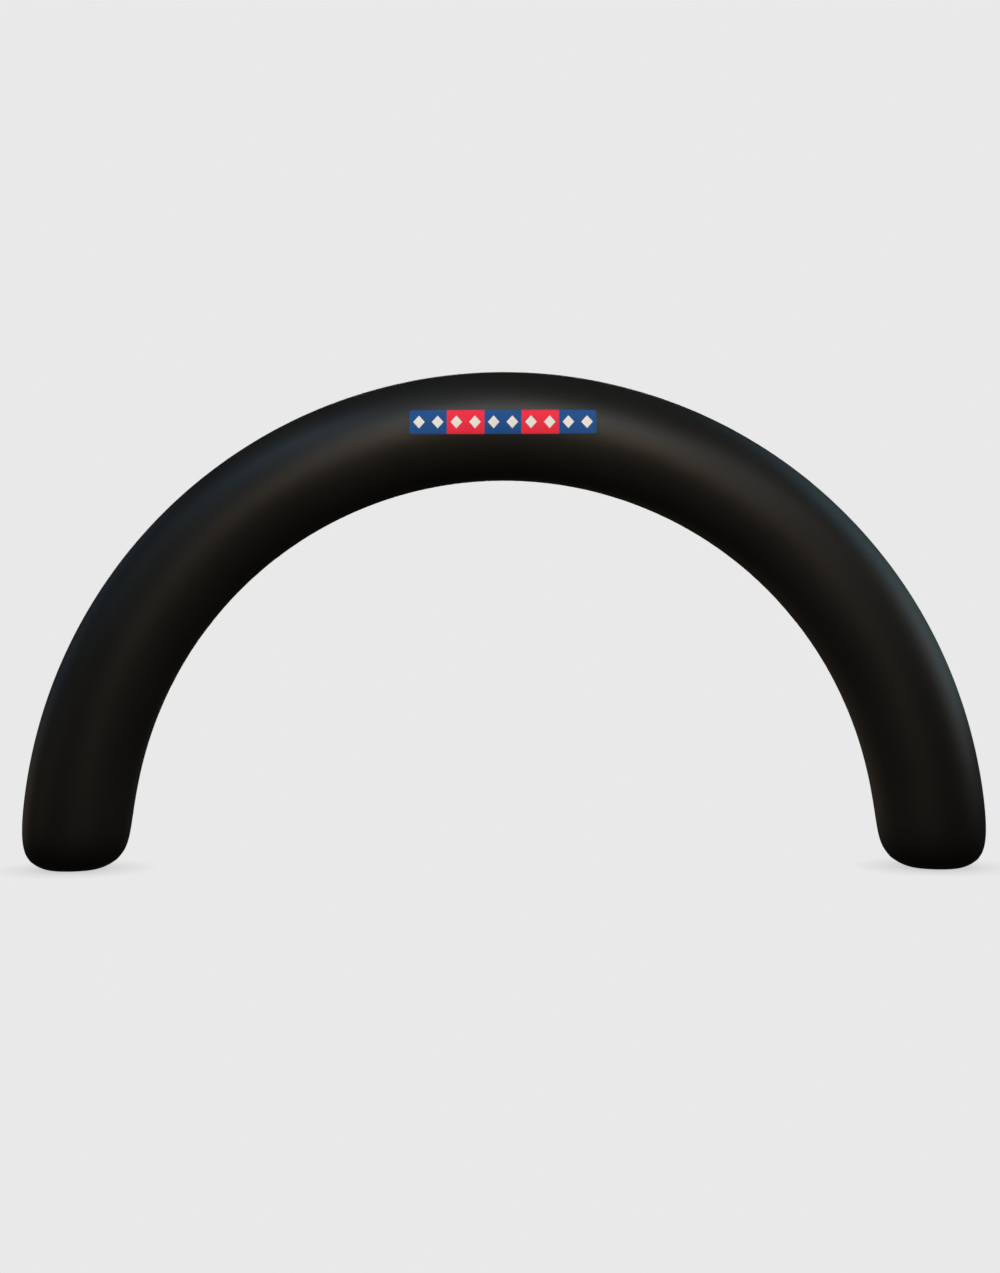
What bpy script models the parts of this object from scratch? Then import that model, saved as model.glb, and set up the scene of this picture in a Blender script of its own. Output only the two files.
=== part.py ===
"""Inflatable event arch: one round air-filled tube bent into a half circle, standing on two legs.

The tube's cloth closes each leg with a round base panel, which the air pushes out and the floor
presses flat in the middle. A straight cloth band lies across the front of the crown.
The origin is on the floor midway between the legs, +X runs across the span and the front faces -Y.
"""

import math

import bmesh
import bpy

# Driving dimensions, in metres.
ARC_RADIUS = 2.662  # from the arc's centre to the middle of the tube
TUBE_RADIUS = 0.337
ARC_CENTRE_HEIGHT = 0.088  # the legs run straight down from here to the floor

# The legs' lower ends.
CONTACT_RADIUS = 0.150  # the flat patch that a leg stands on
FILL_HEIGHT = 0.078  # the height over which a leg swells from the patch to its full width
FILL_POWER = 0.75  # under 1, so that the cloth leaves the floor flat and turns up softly
FLARE = 0.027  # how far a leg's end stands outside the line of the arc
FLARE_HEIGHT = 0.184

# The cloth.
CLOTH = 0.002
GAP = 0.0003  # left between pieces that lie on each other
PANEL_RIM_HEIGHT = 0.050  # where the base panel meets the tube's cloth
RIM_STEP = 0.0005  # the rise of the tube's ledge over the panel's rim

# The band across the crown.
BAND_LENGTH = 1.130
BAND_HEIGHT = 0.145
BAND_DROP = 0.010  # its middle below the tube's own middle line at the crown
BAND_LIFT = 0.0008  # clears the tube's flat facets

# How finely the shapes are cut.
TUBE_SIDES = 48  # a multiple of 4
ARC_STEP = 0.130
FOOT_HEIGHT = 0.420  # the stretch of leg with closer sections
FOOT_STEPS = 12
FOOT_SPACING_POWER = 1.8  # over 1, so that the sections crowd towards the floor
LEAST_SPACING = 0.010  # from the ledge to the next section
PANEL_STEPS = 6
BAND_COLUMNS = 28
BAND_ROWS = 6
WELD = 0.00001
SHARP_ANGLE = math.radians(40.0)

# Each cloth's colour, roughness and metallic value.
BLACK_CLOTH = ((0.012, 0.012, 0.012), 0.45, 0.0)
BASE_CLOTH = ((0.010, 0.009, 0.008), 0.60, 0.0)
BAND_CLOTH = ((0.100, 0.060, 0.200), 0.50, 0.0)


def clear_scene():
    for item in list(bpy.data.objects):
        bpy.data.objects.remove(item, do_unlink=True)


def cloth_material(name, finish):
    colour, roughness, metallic = finish
    material = bpy.data.materials.new(name)
    material.use_nodes = True
    shader = material.node_tree.nodes["Principled BSDF"]
    shader.inputs["Base Color"].default_value = (*colour, 1.0)
    shader.inputs["Roughness"].default_value = roughness
    shader.inputs["Metallic"].default_value = metallic
    return material


def leg_radius(height):
    """The outer radius of a leg at a height above the floor."""
    filled = (1.0 - math.exp(-height / FILL_HEIGHT)) ** FILL_POWER
    return CONTACT_RADIUS + (TUBE_RADIUS - CONTACT_RADIUS) * filled


def leg_slope(height):
    """How fast the outer radius grows with height, above the floor."""
    left = math.exp(-height / FILL_HEIGHT)
    growth = FILL_POWER * (1.0 - left) ** (FILL_POWER - 1.0) * left / FILL_HEIGHT
    return (TUBE_RADIUS - CONTACT_RADIUS) * growth


def flare(height):
    """How far a leg stands outside the line of the arc at a height above the floor."""
    return FLARE * math.exp(-height / FLARE_HEIGHT)


def foot_height(step, steps, top):
    return top * (step / steps) ** FOOT_SPACING_POWER


def inset(height, depth):
    """The point at this depth under the leg's outer skin, as (height, radius)."""
    if height == 0.0:
        return depth, CONTACT_RADIUS
    slope = leg_slope(height)
    length = math.hypot(1.0, slope)
    return height + depth * slope / length, leg_radius(height) - depth / length


def leg_sections():
    """(length along the leg, radius) of the tube's sections, from the floor up."""
    depth = CLOTH + GAP
    under_panel = [
        inset(foot_height(step, PANEL_STEPS, PANEL_RIM_HEIGHT), depth)
        for step in range(PANEL_STEPS + 1)
    ]
    rim_height, rim_radius = under_panel[-1]
    under_panel[-1] = (rim_height + GAP, rim_radius)
    ledge = rim_height + GAP + RIM_STEP
    heights = [foot_height(step, FOOT_STEPS, FOOT_HEIGHT) for step in range(FOOT_STEPS + 1)]
    above = [height for height in heights if height > ledge + LEAST_SPACING]
    return under_panel + [(height, leg_radius(height)) for height in [ledge] + above]


def arc_point(length):
    """(x, z) on the tube's middle line, this far along it from the right-hand floor."""
    if length <= ARC_CENTRE_HEIGHT:
        return ARC_RADIUS, length
    angle = (length - ARC_CENTRE_HEIGHT) / ARC_RADIUS
    return ARC_RADIUS * math.cos(angle), ARC_CENTRE_HEIGHT + ARC_RADIUS * math.sin(angle)


def tube_sections():
    """(x, z, radius) of each section, from the right-hand floor over the crown to the left."""
    leg = leg_sections()
    crown = ARC_CENTRE_HEIGHT + ARC_RADIUS * math.pi / 2.0
    start = leg[-1][0]
    steps = round((crown - start) / ARC_STEP)
    arc = [(start + (crown - start) * step / steps, TUBE_RADIUS) for step in range(1, steps)]
    half = [(*arc_point(length), radius) for length, radius in leg + arc]
    crown_section = [(*arc_point(crown), TUBE_RADIUS)]
    return half + crown_section + [(-x, z, radius) for x, z, radius in reversed(half)]


def lean_outwards(mesh, offset=0.0):
    """Moves a leg's points outwards by the flare at their height. offset is the mesh's own x."""
    for vertex in mesh.vertices:
        side = math.copysign(1.0, vertex.co.x + offset)
        vertex.co.x += side * flare(vertex.co.z)


def shade_round(mesh):
    mesh.shade_smooth()
    mesh.set_sharp_from_angle(angle=SHARP_ANGLE)


def make_tube(collection):
    """The air-filled tube, as one solid."""
    sections = tube_sections()
    line = bpy.data.curves.new("arch_tube_line", "CURVE")
    line.dimensions = "3D"
    line.bevel_depth = 1.0  # each point's own radius scales it
    line.bevel_resolution = (TUBE_SIDES - 4) // 2
    line.use_fill_caps = True
    spline = line.splines.new("POLY")
    spline.points.add(len(sections) - 1)
    for point, (x, z, radius) in zip(spline.points, sections):
        point.co = (x, 0.0, z, 1.0)
        point.radius = radius
    guide = bpy.data.objects.new("arch_tube_line", line)
    collection.objects.link(guide)
    graph = bpy.context.evaluated_depsgraph_get()
    mesh = bpy.data.meshes.new_from_object(guide.evaluated_get(graph))
    bpy.data.objects.remove(guide)

    shape = bmesh.new()
    shape.from_mesh(mesh)
    bmesh.ops.remove_doubles(shape, verts=shape.verts, dist=WELD)
    bmesh.ops.recalc_face_normals(shape, faces=shape.faces)
    shape.to_mesh(mesh)
    shape.free()
    lean_outwards(mesh)
    shade_round(mesh)
    tube = bpy.data.objects.new("arch_tube", mesh)
    collection.objects.link(tube)
    return tube


def make_base_panel(collection, name, side):
    """A round cloth panel that closes one leg: its outer face turned, then given its thickness."""
    rows = [foot_height(step, PANEL_STEPS, PANEL_RIM_HEIGHT) for step in range(PANEL_STEPS, -1, -1)]
    outline = [(leg_radius(height), height) for height in rows]
    outline += [(CONTACT_RADIUS / 2.0, 0.0), (0.0, 0.0)]
    mesh = bpy.data.meshes.new(name)
    edges = [(index, index + 1) for index in range(len(outline) - 1)]
    mesh.from_pydata([(radius, 0.0, height) for radius, height in outline], edges, [])
    panel = bpy.data.objects.new(name, mesh)
    collection.objects.link(panel)
    panel.location.x = side * ARC_RADIUS

    turn = panel.modifiers.new("turned", "SCREW")
    turn.steps = TUBE_SIDES
    turn.render_steps = TUBE_SIDES
    turn.use_merge_vertices = True
    turn.merge_threshold = WELD
    graph = bpy.context.evaluated_depsgraph_get()
    turned = bpy.data.meshes.new_from_object(panel.evaluated_get(graph))
    panel.modifiers.remove(turn)
    panel.data = turned
    bpy.data.meshes.remove(mesh)
    lean_outwards(turned, offset=side * ARC_RADIUS)
    shade_round(turned)

    thickness = panel.modifiers.new("cloth", "SOLIDIFY")
    thickness.thickness = CLOTH
    thickness.offset = -1.0
    thickness.use_even_offset = True
    return panel


def tube_front(x, z, lift):
    """The y of the tube's front at a point of the front view, lifted off the cloth."""
    off_middle = math.hypot(x, z - ARC_CENTRE_HEIGHT) - ARC_RADIUS
    return -math.sqrt((TUBE_RADIUS + lift) ** 2 - off_middle**2)


def make_front_band(collection):
    """A straight strip of cloth that follows the round of the tube."""
    middle_height = ARC_CENTRE_HEIGHT + ARC_RADIUS - BAND_DROP
    mesh = bpy.data.meshes.new("front_band")
    shape = bmesh.new()
    bmesh.ops.create_grid(shape, x_segments=BAND_COLUMNS, y_segments=BAND_ROWS, size=0.5)
    for vertex in shape.verts:
        x = vertex.co.x * BAND_LENGTH
        z = middle_height + vertex.co.y * BAND_HEIGHT
        vertex.co = (x, tube_front(x, z, BAND_LIFT), z)
    shape.to_mesh(mesh)
    shape.free()
    shade_round(mesh)
    band = bpy.data.objects.new("front_band", mesh)
    collection.objects.link(band)
    thickness = band.modifiers.new("cloth", "SOLIDIFY")
    thickness.thickness = CLOTH
    thickness.offset = 1.0
    thickness.use_even_offset = True
    return band


def build():
    clear_scene()
    collection = bpy.data.collections.new("inflatable_arch")
    bpy.context.scene.collection.children.link(collection)

    tube = make_tube(collection)
    tube.data.materials.append(cloth_material("black_cloth", BLACK_CLOTH))
    base_cloth = cloth_material("base_cloth", BASE_CLOTH)
    for name, side in (("base_panel_left", -1.0), ("base_panel_right", 1.0)):
        panel = make_base_panel(collection, name, side)
        panel.data.materials.append(base_cloth)
        panel.parent = tube
    band = make_front_band(collection)
    band.data.materials.append(cloth_material("band_cloth", BAND_CLOTH))
    band.parent = tube


build()
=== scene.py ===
import math

import bpy
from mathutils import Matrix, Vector, noise


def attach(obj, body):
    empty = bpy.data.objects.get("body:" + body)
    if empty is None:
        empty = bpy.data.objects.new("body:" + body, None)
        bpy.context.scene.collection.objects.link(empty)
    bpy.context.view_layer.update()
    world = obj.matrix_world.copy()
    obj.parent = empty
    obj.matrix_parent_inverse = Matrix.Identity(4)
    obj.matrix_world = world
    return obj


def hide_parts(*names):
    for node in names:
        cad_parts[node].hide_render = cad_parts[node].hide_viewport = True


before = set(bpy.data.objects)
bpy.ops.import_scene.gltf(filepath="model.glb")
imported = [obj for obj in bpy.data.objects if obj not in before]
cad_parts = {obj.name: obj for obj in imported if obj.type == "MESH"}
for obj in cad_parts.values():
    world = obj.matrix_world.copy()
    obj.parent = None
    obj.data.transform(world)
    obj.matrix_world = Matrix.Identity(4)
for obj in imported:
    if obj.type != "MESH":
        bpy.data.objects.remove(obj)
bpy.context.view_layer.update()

# The tube. Black cloth with an airtight coating, cut as a front and a back panel that are lapped
# and sewn together along the outer and the inner curve. It is blown up hard, and the hem at the foot
# of each leg is sewn to the base panel that closes it.
ARC_RADIUS = 2.662  # from the arc's centre to the middle of the tube, in metres as all lengths here
TUBE_RADIUS = 0.337
ARC_CENTRE_HEIGHT = 0.088  # the legs run straight down from here to the floor
HALF_ARC = ARC_RADIUS * math.pi / 2.0
HALF_LENGTH = HALF_ARC + ARC_CENTRE_HEIGHT  # from the crown along the tube's middle to the floor
CONTACT_RADIUS = 0.150  # the flat patch that a leg stands on
FILL_HEIGHT = 0.078  # the height over which a leg swells from the patch to its full width
FILL_POWER = 0.75  # under 1, so that the cloth leaves the floor flat and turns up softly
FLARE = 0.027  # how far a leg's end stands outside the line of the arc
FLARE_HEIGHT = 0.184
CLOTH = 0.002
GAP = 0.0003  # between pieces that lie on each other
INSIDE_PANEL = CLOTH + GAP  # how far the tube's end lies within the base panel's outer face
RIM_HEIGHT = 0.050  # of the base panel, where the tube's hem meets it
HEM_WIDTH = 0.015
HEM_FOOT = RIM_HEIGHT + GAP
HEM_TOP = HEM_FOOT + HEM_WIDTH
LAP_RISE = 0.0009  # how far the hem and the lapped seams stand off the cloth beside them
LAP_HALF = 0.013  # half of a lapped seam's width

TUBE_SIDES = 160
SEAM_CROWDING = 0.25  # brings the sides closer together towards the two seams
CUTS_TWICE = 22  # the length between the hems is cut by these, and each part again
FOOT_ROWS = 8  # below the hem, inside the base panel
ROW_POWER = 1.8  # over 1, so that the rows crowd towards the floor
FACING = 0.5  # a face looks a way when its normal reaches this far along it
SHARP_CLOTH = math.radians(35.0)  # the turn past which an edge of cloth isn't shaded round

INNER_PUCKER = 0.0015  # how deep the cloth puckers beside the inner curve's seam
OUTER_PUCKER = 0.0012
PUCKER_REACH = 0.030  # how far from a seam the puckers are deepest
PUCKER_END = 0.090  # how far from it they are gone
PUCKER_LENGTH = 0.038  # along the seam
PUCKER_SPREAD = 0.160  # away from it
HEM_PUCKER = 0.0010
HEM_PUCKER_REACH = 0.035  # how far above a hem the puckers are deepest
HEM_PUCKER_END = 0.280
UNEVENNESS = 0.0004
UNEVENNESS_LENGTH = 0.40


def leg_radius(height):
    """The outer radius of a leg at a height above the floor."""
    filled = (1.0 - math.exp(-height / FILL_HEIGHT)) ** FILL_POWER
    return CONTACT_RADIUS + (TUBE_RADIUS - CONTACT_RADIUS) * filled


def leg_slope(height):
    """How fast the outer radius grows with height, above the floor."""
    left = math.exp(-height / FILL_HEIGHT)
    growth = FILL_POWER * (1.0 - left) ** (FILL_POWER - 1.0) * left / FILL_HEIGHT
    return (TUBE_RADIUS - CONTACT_RADIUS) * growth


def flare(height):
    """How far a leg stands outside the line of the arc at a height above the floor."""
    return FLARE * math.exp(-height / FLARE_HEIGHT)


def pucker(way, turn):
    """How far the cloth puckers, at a way along the tube and a turn round it, by seams and hems."""
    depth = 0.0
    for seam, deep in ((-math.pi / 2.0, INNER_PUCKER), (math.pi / 2.0, OUTER_PUCKER)):
        beside = (turn - seam) * TUBE_RADIUS
        if abs(beside) < PUCKER_END:
            reached = (beside / PUCKER_REACH) ** 2
            fold = noise.noise(Vector((way / PUCKER_LENGTH, beside / PUCKER_SPREAD, seam)))
            depth += deep * fold * reached * math.exp(1.0 - reached)
    above_hem = HALF_LENGTH - abs(way) - HEM_TOP
    if 0.0 < above_hem < HEM_PUCKER_END:
        reached = above_hem / HEM_PUCKER_REACH
        round_leg = TUBE_RADIUS / PUCKER_LENGTH
        fold = noise.noise(Vector((round_leg * math.cos(turn), round_leg * math.sin(turn), way)))
        depth += HEM_PUCKER * fold * reached * math.exp(1.0 - reached)
    return depth


def unevenness(place):
    """How far the blown-up cloth stands off a perfect round."""
    return UNEVENNESS * noise.noise(place / UNEVENNESS_LENGTH)


def bend_into_arch(mesh):
    """Bends what is laid out straight along the tube, with the outer curve up, as it is blown up."""
    for vertex in mesh.vertices:
        way, front, out = vertex.co.x, -vertex.co.y, vertex.co.z
        height = HALF_LENGTH - abs(way)
        angle = min(abs(way), HALF_ARC) / ARC_RADIUS  # from straight up
        outwards = Vector((math.copysign(math.sin(angle), way), 0.0, math.cos(angle)))
        middle = ARC_RADIUS * outwards
        middle.z += min(ARC_CENTRE_HEIGHT, height)
        across = (out * outwards - Vector((0.0, front, 0.0))).normalized()
        lift = math.hypot(front, out) - TUBE_RADIUS + pucker(way, math.atan2(out, front))
        lift += unevenness(middle + across * TUBE_RADIUS)
        lift *= math.hypot(1.0, leg_slope(height))  # keeps its size off a leg's sloping skin
        vertex.co = middle + across * (leg_radius(height) + lift)
        vertex.co.x += math.copysign(flare(vertex.co.z), way)


def lay_out(mesh):
    """Gives each point its place on the flat cloth, in metres along and across its panel."""
    layout = mesh.uv_layers.new(name="cloth_layout")
    for face in mesh.polygons:
        facing = math.copysign(1.0, face.center.y)
        for corner in face.loop_indices:
            place = mesh.vertices[mesh.loops[corner].vertex_index].co
            turn = math.atan2(place.z, facing * place.y)
            layout.uv[corner].vector = (place.x, facing * turn * TUBE_RADIUS)


def name_piece(name, size=(1.0, 1.0, 1.0)):
    """Names the piece that was just added, and puts its place, turn and size into its mesh."""
    piece = bpy.context.object
    piece.scale = size
    bpy.ops.object.transform_apply()
    piece.name = name
    piece.data.name = name
    return piece


def select_in(piece, kind, wanted=lambda item: True):
    """Opens a piece in edit mode with the wanted vertices, edges or faces selected, or with all."""
    bpy.ops.object.select_all(action="DESELECT")
    piece.select_set(True)
    bpy.context.view_layer.objects.active = piece
    bpy.ops.object.mode_set(mode="EDIT")
    bpy.ops.mesh.select_mode(type=kind)
    bpy.ops.mesh.select_all(action="DESELECT")
    bpy.ops.object.mode_set(mode="OBJECT")
    mesh = piece.data
    for item in {"VERT": mesh.vertices, "EDGE": mesh.edges, "FACE": mesh.polygons}[kind]:
        item.select = wanted(item)
    bpy.ops.object.mode_set(mode="EDIT")


foot_heights = [
    INSIDE_PANEL + (RIM_HEIGHT - INSIDE_PANEL) * (row / FOOT_ROWS) ** ROW_POWER
    for row in range(FOOT_ROWS + 1)
]
half_rows = [HALF_LENGTH - height for height in foot_heights + [HEM_FOOT, HEM_TOP]]
rows = [-way for way in half_rows] + half_rows[::-1]

bpy.ops.object.select_all(action="DESELECT")
bpy.ops.mesh.primitive_circle_add(
    vertices=TUBE_SIDES,
    radius=TUBE_RADIUS,
    fill_type="NGON",
    calc_uvs=False,
    location=(rows[0], 0.0, 0.0),
    rotation=(0.0, math.pi / 2.0, 0.0),
)
tube = name_piece("tube")
for vertex in tube.data.vertices:
    turn = math.atan2(vertex.co.z, -vertex.co.y)
    turn += SEAM_CROWDING * math.sin(2.0 * turn)
    vertex.co.y = -TUBE_RADIUS * math.cos(turn)
    vertex.co.z = TUBE_RADIUS * math.sin(turn)
select_in(tube, "FACE")
for here, there in zip(rows, rows[1:]):
    bpy.ops.mesh.extrude_region_move(TRANSFORM_OT_translate={"value": (there - here, 0.0, 0.0)})
bpy.ops.object.mode_set(mode="OBJECT")


def runs_between_hems(edge):
    """True for the edges along the tube from the one leg's hem to the other's."""
    first, last = (tube.data.vertices[index].co.x for index in edge.vertices)
    return abs(first - last) > GAP and max(abs(first), abs(last)) < HALF_LENGTH - HEM_TOP + GAP


for _ in range(2):
    select_in(tube, "EDGE", runs_between_hems)
    bpy.ops.mesh.subdivide(number_cuts=CUTS_TWICE)
    bpy.ops.object.mode_set(mode="OBJECT")
select_in(tube, "FACE")
bpy.ops.mesh.normals_make_consistent(inside=False)
bpy.ops.object.mode_set(mode="OBJECT")


def is_lapped(face):
    """True for the faces along the two seams, and for the ring that is each leg's hem."""
    if abs(face.normal.x) > FACING:
        return False
    below_crown = abs(face.center.x)
    if below_crown > HALF_LENGTH - HEM_TOP:
        return below_crown < HALF_LENGTH - HEM_FOOT
    return abs(face.center.y) < LAP_HALF


select_in(tube, "FACE", is_lapped)
bpy.ops.mesh.extrude_region_shrink_fatten(TRANSFORM_OT_shrink_fatten={"value": LAP_RISE})
bpy.ops.object.mode_set(mode="OBJECT")
for vertex in tube.data.vertices:
    if abs(vertex.co.x) > HALF_LENGTH - HEM_FOOT + GAP / 2.0:
        vertex.co.y *= 1.0 - INSIDE_PANEL / TUBE_RADIUS
        vertex.co.z *= 1.0 - INSIDE_PANEL / TUBE_RADIUS
lay_out(tube.data)
bend_into_arch(tube.data)
bpy.ops.object.shade_smooth_by_angle(angle=SHARP_CLOTH)

CLOTH_SHINE = 0.3  # how strongly coated cloth and thread mirror light, where plain plastic has 0.5


class Value:
    """What a finish works out from point to point: a number, or else a place or a colour."""

    def __init__(self, finish, socket):
        self.finish = finish
        self.socket = socket

    def __add__(self, other):
        return self.finish.maths("ADD", self, other)

    def __sub__(self, other):
        return self.finish.maths("SUBTRACT", self, other)

    def __rsub__(self, other):
        return self.finish.maths("SUBTRACT", other, self)

    def __mul__(self, other):
        return self.finish.maths("MULTIPLY", self, other)

    __radd__ = __add__
    __rmul__ = __mul__


class Finish:
    """A material while its nodes are put together."""

    def __init__(self, name, shine=CLOTH_SHINE):
        self.material = bpy.data.materials.new(name)
        self.material.use_nodes = True
        self.tree = self.material.node_tree
        self.shader = self.tree.nodes["Principled BSDF"]
        self.shader.inputs["Specular IOR Level"].default_value = shine

    def put(self, socket, value):
        if isinstance(value, Value):
            self.tree.links.new(value.socket, socket)
        else:
            socket.default_value = value

    def node(self, kind, settings, values, output=0):
        """Adds a node with its settings and the values of its sockets, and gives its output."""
        made = self.tree.nodes.new("ShaderNode" + kind)
        for name, setting in settings.items():
            setattr(made, name, setting)
        for name, value in values.items():
            self.put(made.inputs[name], value)
        return Value(self, made.outputs[output])

    def maths(self, operation, *numbers):
        return self.node("Math", {"operation": operation}, dict(enumerate(numbers)))

    def ease(self, number, low, high):
        """0 below low, 1 above high, and a soft step between them."""
        settings = {"interpolation_type": "SMOOTHSTEP"}
        return self.node("MapRange", settings, {"Value": number, "From Min": low, "From Max": high})

    def blend(self, share, first, second):
        """Between two colours, which are sockets 6 and 7 of a Mix node and leave it by output 2."""
        return self.node("Mix", {"data_type": "RGBA"}, {0: share, 6: first, 7: second}, 2)

    def patches(self, length, detail=2.0):
        """Soft uneven patches of about this length, about 0.5."""
        place = self.node("TexCoord", {}, {}, "Object")
        return self.node("TexNoise", {}, {"Vector": place, "Scale": 1.0 / length, "Detail": detail})

    def on_cloth(self, axis):
        """How far along, for X, or across, for Y, a point is on the flat cloth, in metres."""
        layout = self.node("TexCoord", {}, {}, "UV")
        return self.node("SeparateXYZ", {}, {"Vector": layout}, axis)

    def threads(self, pitch):
        """How high a plain weave's threads stand, from -1 to 1, on the flat cloth."""
        along = self.on_cloth("X") * (math.tau / pitch)
        across = self.on_cloth("Y") * (math.tau / pitch)
        return self.maths("SINE", along) * self.maths("SINE", across)

    def end(self, colour, roughness, relief):
        """Puts the last values into the finish. The relief is in metres."""
        self.put(self.shader.inputs["Base Color"], colour)
        self.put(self.shader.inputs["Roughness"], roughness)
        bumped = self.node("Bump", {}, {"Height": relief, "Distance": 1.0}, "Normal")
        self.put(self.shader.inputs["Normal"], bumped)

    def dress(self, piece):
        """Puts the finish on a piece."""
        piece.data.materials.clear()
        piece.data.materials.append(self.material)


COATING_DARK = (0.0070, 0.0068, 0.0064, 1.0)
COATING_PALE = (0.0125, 0.0122, 0.0116, 1.0)
COATING_ROUGHNESS = 0.40  # the least, to which its patches and its grain add
TONE_LENGTH = 0.45  # of the large soft patches in which the coating's tone drifts
TONE_ROUGHENS = 0.10
GRAIN_LENGTH = 0.006
GRAIN_SHARE = 0.3  # of the uneven colour, where the patches have the rest
GRAIN_ROUGHENS = 0.05
GRAIN_DEPTH = 0.00005
WAVE_LENGTH = 0.09  # of the shallow waves that the tight cloth keeps
WAVE_DEPTH = 0.0004
WEAVE_PITCH = 0.0011
WEAVE_DEPTH = 0.000010
CREASE_PITCH = 0.014  # of the fine creases that the stitches draw in beside the two seams
CREASE_SPREAD = 0.120
CREASE_REACH = 0.045  # how far from a seam they end
CREASE_DEPTH = 0.0005

coated = Finish("coated_cloth")
tone = coated.patches(TONE_LENGTH)
grain = coated.patches(GRAIN_LENGTH)
uneven = (1.0 - GRAIN_SHARE) * tone + GRAIN_SHARE * grain
layout = coated.node("TexCoord", {}, {}, "UV")
crease_scale = (1.0 / CREASE_PITCH, 1.0 / CREASE_SPREAD, 1.0)
drawn = coated.node("VectorMath", {"operation": "MULTIPLY"}, {0: layout, 1: crease_scale})
creases = coated.node("TexNoise", {}, {"Vector": drawn, "Scale": 1.0, "Detail": 2.0})
off_seam = TUBE_RADIUS * math.pi / 2.0 - coated.maths("ABSOLUTE", coated.on_cloth("Y"))
creased = 1.0 - coated.ease(off_seam, LAP_HALF, CREASE_REACH)
coated.end(
    colour=coated.blend(uneven, COATING_DARK, COATING_PALE),
    roughness=COATING_ROUGHNESS + TONE_ROUGHENS * tone + GRAIN_ROUGHENS * grain,
    relief=WEAVE_DEPTH * coated.threads(WEAVE_PITCH)
    + GRAIN_DEPTH * grain
    + WAVE_DEPTH * coated.patches(WAVE_LENGTH)
    + CREASE_DEPTH * creases * creased,
)
coated.dress(tube)
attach(tube, "root")
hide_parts("arch_tube")

# The seam thread. Black polyester, lockstitched in two rows through each of the two lapped seams,
# from the one leg's hem over the crown to the other's.
THREAD = 0.0007
THREAD_SIDES = 5
THREAD_RINGS = 3
SHARP_THREAD = math.radians(80.0)
STITCH = 0.0048
STITCH_PITCH = 0.0060
ROW_FROM_SEAM = 0.0088
LAP_FACE = TUBE_RADIUS + LAP_RISE  # from the tube's middle
THREAD_DARK = (0.014, 0.014, 0.014, 1.0)
THREAD_PALE = (0.036, 0.035, 0.034, 1.0)
THREAD_ROUGHNESS = 0.45
FIBRE_LENGTH = 0.0004
FIBRE_DEPTH = 0.0001
FIBRES_ROUGHEN = 0.2


def add_stitch(name, place, turned, length=STITCH):
    """One stitch: a short bar of thread that sinks into the cloth at both ends."""
    bpy.ops.object.select_all(action="DESELECT")
    bpy.ops.mesh.primitive_uv_sphere_add(
        segments=THREAD_SIDES,
        ring_count=THREAD_RINGS,
        radius=THREAD / 2.0,
        calc_uvs=False,
        location=place,
        rotation=turned,
    )
    return name_piece(name, size=(1.0, 1.0, length / THREAD))


def repeat(piece, count, step):
    """Repeats a piece in a straight row."""
    row = piece.modifiers.new("row", "ARRAY")
    row.count = count
    row.use_relative_offset = False
    row.use_constant_offset = True
    row.constant_offset_displace = step
    bpy.ops.object.modifier_apply(modifier="row")


def copy_all(way):
    """Copies all of the open piece, and moves the copy this way."""
    bpy.ops.mesh.select_all(action="SELECT")
    bpy.ops.mesh.duplicate_move(TRANSFORM_OT_translate={"value": way})


seam_stitches = math.floor(2.0 * (HALF_LENGTH - HEM_TOP) / STITCH_PITCH)
seam_thread = add_stitch(
    "seam_thread",
    place=(-0.5 * STITCH_PITCH * (seam_stitches - 1), -ROW_FROM_SEAM, LAP_FACE),
    turned=(0.0, math.pi / 2.0, 0.0),
)
repeat(seam_thread, seam_stitches, (STITCH_PITCH, 0.0, 0.0))
select_in(seam_thread, "VERT")
copy_all((0.0, 2.0 * ROW_FROM_SEAM, 0.0))
copy_all((0.0, 0.0, -2.0 * LAP_FACE))
bpy.ops.object.mode_set(mode="OBJECT")
bend_into_arch(seam_thread.data)
bpy.ops.object.shade_smooth_by_angle(angle=SHARP_THREAD)

polyester = Finish("black_thread")
fibres = polyester.patches(FIBRE_LENGTH)
polyester.end(
    colour=polyester.blend(fibres, THREAD_DARK, THREAD_PALE),
    roughness=THREAD_ROUGHNESS + FIBRES_ROUGHEN * fibres,
    relief=FIBRE_DEPTH * fibres,
)
polyester.dress(seam_thread)
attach(seam_thread, "root")

# The base panels. Round pieces of a heavier coated cloth, one sewn into the hem at the foot of each
# leg. The air pushes them out and the floor presses them flat in the middle.
PANEL_SIDES = 96
PANEL_ROWS = 12
PANEL_RINGS = 3  # within the flat patch
CANVAS_CLEAN = (0.0075, 0.0070, 0.0065, 1.0)
CANVAS_DUSTY = (0.045, 0.042, 0.038, 1.0)
CANVAS_ROUGHNESS = 0.50
CANVAS_PITCH = 0.0022  # of its weave, which is coarser than the tube's
CANVAS_DEPTH = 0.00003
WEAR_LENGTH = 0.03
WEAR_DETAIL = 5.0
WEAR_DEPTH = 0.0002
DUST_FULL = 0.002  # the height below which the dust is thickest
DUST_END = 0.022  # the height above which there is none
DUST_ROUGHENS = 0.3

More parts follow.
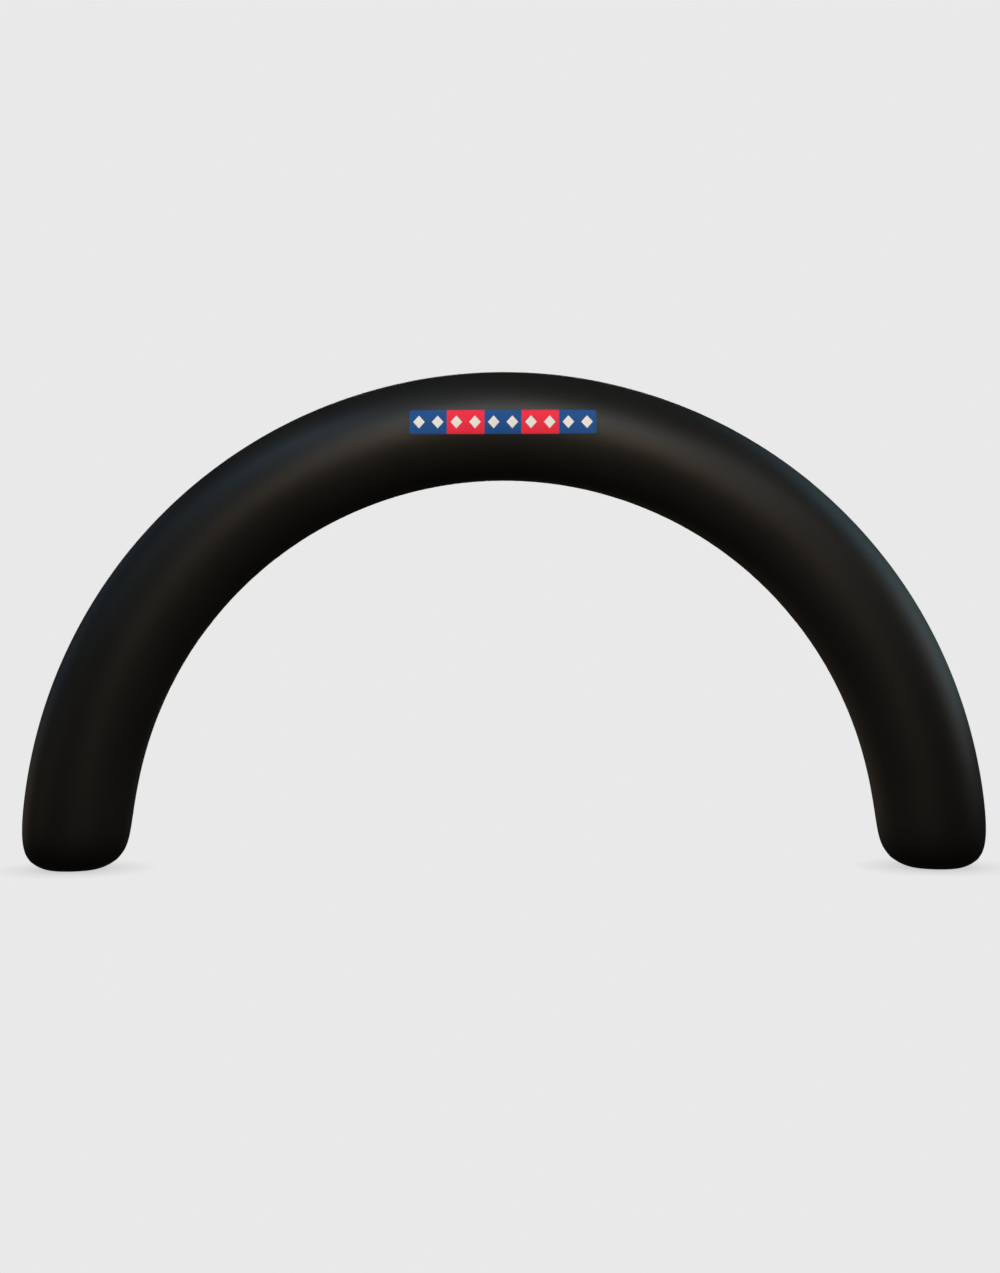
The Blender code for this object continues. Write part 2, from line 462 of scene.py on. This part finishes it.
canvas = Finish("base_cloth")
wear = canvas.patches(WEAR_LENGTH, detail=WEAR_DETAIL)
height = canvas.node("SeparateXYZ", {}, {"Vector": canvas.node("TexCoord", {}, {}, "Object")}, "Z")
dust = (1.0 - canvas.ease(height, DUST_FULL, DUST_END)) * wear
canvas.end(
    colour=canvas.blend(dust, CANVAS_CLEAN, CANVAS_DUSTY),
    roughness=CANVAS_ROUGHNESS + DUST_ROUGHENS * dust,
    relief=CANVAS_DEPTH * canvas.threads(CANVAS_PITCH) + WEAR_DEPTH * wear,
)
panel_heights = [RIM_HEIGHT * (row / PANEL_ROWS) ** ROW_POWER for row in range(PANEL_ROWS + 1)]
for name, node, side in (
    ("left_base", "base_panel_left", -1.0),
    ("right_base", "base_panel_right", 1.0),
):
    middle = Vector((side * ARC_RADIUS, 0.0, 0.0))
    bpy.ops.object.select_all(action="DESELECT")
    bpy.ops.mesh.primitive_circle_add(
        vertices=PANEL_SIDES,
        radius=CONTACT_RADIUS,
        fill_type="NGON",
        calc_uvs=False,
        location=middle,
    )
    panel = name_piece(name)
    select_in(panel, "FACE")
    for _ in range(PANEL_RINGS):
        bpy.ops.mesh.inset(thickness=CONTACT_RADIUS / (PANEL_RINGS + 1))
    bpy.ops.object.mode_set(mode="OBJECT")
    select_in(panel, "VERT", lambda vertex: (vertex.co - middle).length > CONTACT_RADIUS - GAP)
    for below, above in zip(panel_heights, panel_heights[1:]):
        wider = leg_radius(above) / leg_radius(below)
        bpy.ops.mesh.extrude_edges_move(TRANSFORM_OT_translate={"value": (0.0, 0.0, above - below)})
        bpy.ops.transform.resize(value=(wider, wider, 1.0), center_override=(middle.x, 0.0, above))
    bpy.ops.mesh.select_all(action="SELECT")
    bpy.ops.mesh.normals_make_consistent(inside=False)
    bpy.ops.object.mode_set(mode="OBJECT")
    layout = panel.data.uv_layers.new(name="cloth_layout")
    for corner in panel.data.loops:
        place = panel.data.vertices[corner.vertex_index].co - middle
        layout.uv[corner.index].vector = (place.x, place.y)
    for vertex in panel.data.vertices:
        vertex.co.x += side * flare(vertex.co.z)
    cloth = panel.modifiers.new("cloth", "SOLIDIFY")
    cloth.thickness = CLOTH
    cloth.offset = -1.0
    cloth.use_even_offset = True
    bpy.ops.object.modifier_apply(modifier="cloth")
    bpy.ops.object.shade_smooth_by_angle(angle=SHARP_CLOTH)
    canvas.dress(panel)
    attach(panel, "root")
    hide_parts(node)

# The hem thread. The same black polyester, lockstitched in two rows round the hem at the foot of
# each leg, just above the rim of the base panel.
HEM_STITCHES = 290  # in a row
HEM_ROW = 0.0035  # the lower row's height above the hem's foot
HEM_ROW_STEP = 0.008  # from there to the upper row

lower_row = HALF_LENGTH - HEM_FOOT - HEM_ROW
hem_thread = add_stitch(
    "hem_thread",
    place=(-lower_row, -LAP_FACE, 0.0),
    turned=(0.0, 0.0, 0.0),
    length=STITCH * TUBE_RADIUS / leg_radius(HEM_FOOT),
)
select_in(hem_thread, "VERT")
bpy.ops.mesh.spin(
    steps=HEM_STITCHES - 1,
    dupli=True,
    angle=math.tau * (HEM_STITCHES - 1) / HEM_STITCHES,
    center=(0.0, 0.0, 0.0),
    axis=(1.0, 0.0, 0.0),
)
bpy.ops.mesh.select_all(action="SELECT")
bpy.ops.mesh.normals_make_consistent(inside=False)
copy_all((HEM_ROW_STEP, 0.0, 0.0))
copy_all((2.0 * lower_row - HEM_ROW_STEP, 0.0, 0.0))
bpy.ops.object.mode_set(mode="OBJECT")
bend_into_arch(hem_thread.data)
bpy.ops.object.shade_smooth_by_angle(angle=SHARP_THREAD)
polyester.dress(hem_thread)
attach(hem_thread, "root")

# The front band. A straight strip of printed polyester, hemmed all round, that follows the round of
# the tube across the front of the crown and is sewn down along its hem.
BAND_LENGTH = 1.130
BAND_HEIGHT = 0.145
BAND_DROP = 0.010  # its middle below the tube's own middle line at the crown
BAND_MIDDLE = ARC_CENTRE_HEIGHT + ARC_RADIUS - BAND_DROP
BAND_LIFT = 0.0008  # its back off the tube
BAND_CLOTH = 0.0014
BAND_HEM = 0.010
BAND_HEM_RISE = 0.0006  # how far the hem stands off the rest of the strip
BAND_CORNER = 0.012
BAND_CELL = 0.005  # of its mesh


def press_onto_front(mesh):
    """Presses what is laid out flat in front of the crown onto the tube. Its back is at y 0."""
    for vertex in mesh.vertices:
        x, z = vertex.co.x, vertex.co.z
        off_middle = math.hypot(x, z - ARC_CENTRE_HEIGHT) - ARC_RADIUS
        front = Vector((x, -math.sqrt(TUBE_RADIUS**2 - off_middle**2), z))
        lift = BAND_LIFT - vertex.co.y + unevenness(front)
        vertex.co.y = -math.sqrt((TUBE_RADIUS + lift) ** 2 - off_middle**2)


bpy.ops.object.select_all(action="DESELECT")
bpy.ops.mesh.primitive_grid_add(
    x_subdivisions=round(BAND_LENGTH / BAND_CELL),
    y_subdivisions=round(BAND_HEIGHT / BAND_CELL),
    size=1.0,
    calc_uvs=False,
    location=(0.0, 0.0, BAND_MIDDLE),
    rotation=(math.pi / 2.0, 0.0, 0.0),
)
band = name_piece("front_strip", size=(BAND_LENGTH, BAND_HEIGHT, 1.0))
layout = band.data.uv_layers.new(name="cloth_layout")
for corner in band.data.loops:
    place = band.data.vertices[corner.vertex_index].co
    layout.uv[corner.index].vector = (place.x, place.z - BAND_MIDDLE)
cloth = band.modifiers.new("cloth", "SOLIDIFY")
cloth.thickness = BAND_CLOTH
cloth.offset = 1.0
bpy.ops.object.modifier_apply(modifier="cloth")


def is_front_hem(face):
    """True for the faces of the strip's front that are within its hem."""
    from_end = BAND_LENGTH / 2.0 - abs(face.center.x)
    from_edge = BAND_HEIGHT / 2.0 - abs(face.center.z - BAND_MIDDLE)
    return face.normal.y < -FACING and min(from_end, from_edge) < BAND_HEM


select_in(band, "FACE", is_front_hem)
bpy.ops.mesh.extrude_region_shrink_fatten(TRANSFORM_OT_shrink_fatten={"value": BAND_HEM_RISE})
bpy.ops.object.mode_set(mode="OBJECT")
for vertex in band.data.vertices:
    past_x = abs(vertex.co.x) - (BAND_LENGTH / 2.0 - BAND_CORNER)
    past_z = abs(vertex.co.z - BAND_MIDDLE) - (BAND_HEIGHT / 2.0 - BAND_CORNER)
    if past_x > 0.0 and past_z > 0.0:
        short = 1.0 - BAND_CORNER / max(BAND_CORNER, math.hypot(past_x, past_z))
        vertex.co.x -= math.copysign(past_x * short, vertex.co.x)
        vertex.co.z -= math.copysign(past_z * short, vertex.co.z - BAND_MIDDLE)
press_onto_front(band.data)
bpy.ops.object.shade_smooth_by_angle(angle=SHARP_CLOTH)

BLOCKS = 5  # of colour, blue and red in turn
BLUE = (0.009, 0.082, 0.305, 1.0)
RED = (0.920, 0.026, 0.064, 1.0)
WHITE = (0.880, 0.880, 0.860, 1.0)
STRIP_END = 0.999  # of its length, which keeps the very end in the last block
LOZENGES = 10
LOZENGE_WIDTH = 0.070
LOZENGE_HEIGHT = 0.078
LOZENGE_BLUR = 0.02  # of its size, at its edge
PRINT_SHINE = 0.2
PRINT_ROUGHNESS = 0.62
PRINT_PITCH = 0.0009  # of its weave
PRINT_DEPTH = 0.000012
INK_LENGTH = 0.004  # of the fine patches in which the ink lies thicker
INK_ROUGHENS = 0.1
INK_DEPTH = 0.00003

printed = Finish("printed_polyester", shine=PRINT_SHINE)
along = printed.on_cloth("X") * (1.0 / BAND_LENGTH) + 0.5
across = printed.maths("ABSOLUTE", printed.on_cloth("Y"))
block = printed.maths("FLOOR", printed.maths("MINIMUM", along, STRIP_END) * BLOCKS)
red = printed.maths("MODULO", block, 2.0)
from_middle = printed.maths("ABSOLUTE", printed.maths("FRACT", along * LOZENGES) - 0.5)
lozenge_pitch = BAND_LENGTH / LOZENGES
lozenge = from_middle * (2.0 * lozenge_pitch / LOZENGE_WIDTH) + across * (2.0 / LOZENGE_HEIGHT)
white = 1.0 - printed.ease(lozenge, 1.0 - LOZENGE_BLUR, 1.0 + LOZENGE_BLUR)
ink = printed.patches(INK_LENGTH)
printed.end(
    colour=printed.blend(white, printed.blend(red, BLUE, RED), WHITE),
    roughness=PRINT_ROUGHNESS + INK_ROUGHENS * ink,
    relief=PRINT_DEPTH * printed.threads(PRINT_PITCH) + INK_DEPTH * ink,
)
printed.dress(band)
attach(band, "root")
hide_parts("front_band")

# The band's thread. One row of the same stitches along the middle of the strip's hem, all round,
# which sews the strip down to the tube.
hem_face = Vector((0.0, -(BAND_CLOTH + BAND_HEM_RISE), BAND_MIDDLE))
right = Vector((1.0, 0.0, 0.0))
up = Vector((0.0, 0.0, 1.0))
band_rows = []
for length, width, way, off_way, turned in (
    (BAND_LENGTH, BAND_HEIGHT, right, up, (0.0, math.pi / 2.0, 0.0)),
    (BAND_HEIGHT, BAND_LENGTH, up, right, (0.0, 0.0, 0.0)),
):
    count = math.floor((length - 2.0 * BAND_CORNER) / STITCH_PITCH)
    step = way * STITCH_PITCH
    to_edge = (width - BAND_HEM) / 2.0
    for side in (-1.0, 1.0):
        start = hem_face + off_way * side * to_edge - step * (count - 1) / 2.0
        row = add_stitch("band_thread", place=start, turned=turned)
        repeat(row, count, step)
        band_rows.append(row)
bpy.ops.object.select_all(action="DESELECT")
for row in band_rows:
    row.select_set(True)
band_thread = band_rows[0]
bpy.context.view_layer.objects.active = band_thread
bpy.ops.object.join()
press_onto_front(band_thread.data)
bpy.ops.object.shade_smooth_by_angle(angle=SHARP_THREAD)
polyester.dress(band_thread)
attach(band_thread, "root")

# The studio. A pale floor inside a wide dome of the same tone, so that no horizon shows. They give no
# light of their own to the arch, and a painted contact shadow darkens the floor's glow only where the
# legs stand on it.
FLOOR_RADIUS = 40.0
FLOOR_SIDES = 96
FLOOR_DROP = 0.0005  # under the base panels, so that the two faces don't meet
DOME_RADIUS = 41.0
DOME_SIDES = 64
DOME_RINGS = 32
PALE = (0.8148, 0.8148, 0.8148, 1.0)
# the tone of the painted contact shadow under the legs, and how far from them it reaches
PAINTED_SHADOW = (0.60, 0.60, 0.60, 1.0)
PAINTED_SHADOW_REACH = 0.24

bpy.ops.object.select_all(action="DESELECT")
bpy.ops.mesh.primitive_circle_add(
    vertices=FLOOR_SIDES, radius=FLOOR_RADIUS, fill_type="NGON", location=(0.0, 0.0, -FLOOR_DROP)
)
floor = name_piece("studio_floor")
bpy.ops.mesh.primitive_uv_sphere_add(segments=DOME_SIDES, ring_count=DOME_RINGS, radius=DOME_RADIUS)
dome = name_piece("studio_dome")
paper = Finish("pale_paper")
occlusion = {"samples": 4, "only_local": False}
# painted shadow: the floor's glow is painted darker where the legs close in round it
open_air = paper.node("AmbientOcclusion", occlusion, {"Distance": PAINTED_SHADOW_REACH}, "AO")
glow = paper.node("Emission", {}, {"Color": paper.blend(open_air, PAINTED_SHADOW, PALE)})
paper.put(paper.tree.nodes["Material Output"].inputs["Surface"], glow)
for thing in (floor, dome):
    paper.dress(thing)
    thing.visible_diffuse = False
    thing.visible_glossy = False
    thing.visible_transmission = False
    thing.visible_shadow = False

# The lamps. Large softboxes all round the arch, mostly cool above it and warm low down, which draw
# soft stripes along the satin cloth. The air in the studio adds a little warm light from all round.
AIR_LIGHT = (0.027, 0.024, 0.020, 1.0)
world = bpy.data.worlds.new("studio_air")
bpy.context.scene.world = world
world.use_nodes = True
world.node_tree.nodes["Background"].inputs["Color"].default_value = AIR_LIGHT


def softbox(name, place, aim, wide, high, power, colour):
    """A soft light of this width and height, at a place and turned to an aim, of so many watts."""
    bpy.ops.object.light_add(type="AREA", location=place)
    light = bpy.context.object
    light.name = name
    light.rotation_euler = (Vector(aim) - Vector(place)).to_track_quat("-Z", "Y").to_euler()
    light.data.shape = "RECTANGLE"
    light.data.size = wide
    light.data.size_y = high
    light.data.energy = power
    light.data.color = colour


softbox("front_high", (0.0, -5.0, 5.5), (0.0, 0.0, 2.4), 2.5, 2.0, 155.0, (0.95, 1.0, 1.0))
softbox("front_far", (0.0, -9.0, 4.0), (0.0, 0.0, 1.5), 5.0, 2.0, 89.0, (1.0, 0.85, 0.57))
softbox("front_low", (0.0, -5.0, 3.1), (0.0, 0.0, 1.5), 1.5, 1.2, 45.0, (1.0, 0.62, 0.35))
softbox("upper_left", (-3.0, -2.5, 6.5), (-1.5, 0.0, 2.4), 2.5, 2.0, 45.0, (0.42, 0.69, 1.0))
softbox("left", (-5.5, -1.5, 5.5), (-1.5, 0.0, 1.6), 3.0, 5.0, 26.0, (0.53, 0.79, 1.0))
softbox("upper_left_behind", (-6.0, 3.0, 4.2), (-2.0, 0.0, 1.5), 2.5, 2.0, 4.0, (0.32, 0.64, 1.0))
softbox("left_middle", (-7.0, 2.0, 2.5), (-2.2, 0.0, 1.5), 2.5, 2.0, 5.7, (0.52, 0.77, 1.0))
softbox("left_low", (-12.0, -4.0, 1.0), (0.0, 0.0, 1.0), 5.0, 3.0, 31.0, (1.0, 0.85, 0.57))
softbox("left_behind", (-6.5, 2.2, 0.5), (-2.2, 0.0, 1.5), 2.5, 2.0, 4.5, (1.0, 0.83, 0.52))
softbox("right_of_crown", (3.0, -3.0, 4.3), (1.5, 0.0, 2.4), 2.5, 2.0, 21.0, (1.0, 0.95, 0.90))
softbox("upper_right_behind", (5.0, 2.5, 5.5), (1.5, 0.0, 1.8), 4.0, 3.0, 14.6, (0.46, 0.80, 1.0))
softbox("right_behind", (6.5, 3.5, 3.0), (2.2, 0.0, 1.5), 3.0, 3.0, 9.4, (0.57, 1.0, 0.99))
softbox("right_high", (5.5, 0.8, 3.5), (2.0, 0.0, 1.5), 2.0, 4.0, 25.0, (0.59, 0.85, 1.0))
softbox("right_low", (6.5, 0.0, 2.5), (2.2, 0.0, 1.5), 2.5, 3.0, 27.6, (1.0, 0.97, 0.91))
softbox("back_high", (0.0, 6.0, 4.2), (0.0, 0.0, 2.0), 4.0, 2.0, 160.0, (1.0, 0.98, 0.94))
softbox("back_middle", (0.0, 6.5, 2.6), (0.0, 0.0, 1.5), 2.0, 1.5, 100.0, (1.0, 0.94, 0.86))
softbox("back_low", (-3.0, 5.0, 1.5), (2.0, 0.0, 1.0), 3.0, 2.0, 95.0, (1.0, 0.72, 0.50))

# The camera. It stands in front of the arch, about level with the middle of its height and square to
# it, and is rolled by a hair.
CAMERA_PLACE = (-0.0215, -11.448, 1.441)
CAMERA_ROLL = 0.00254  # in radians
CAMERA_LENS = 51.93  # in millimetres, as the sensor's width
CAMERA_SENSOR = 36.0
CAMERA_REACH = 200.0

bpy.ops.object.camera_add(location=CAMERA_PLACE, rotation=(math.pi / 2.0, CAMERA_ROLL, 0.0))
camera = bpy.context.object
camera.data.lens = CAMERA_LENS
camera.data.sensor_width = CAMERA_SENSOR
camera.data.clip_end = CAMERA_REACH
bpy.context.scene.camera = camera
bpy.context.scene.view_settings.view_transform = "Standard"
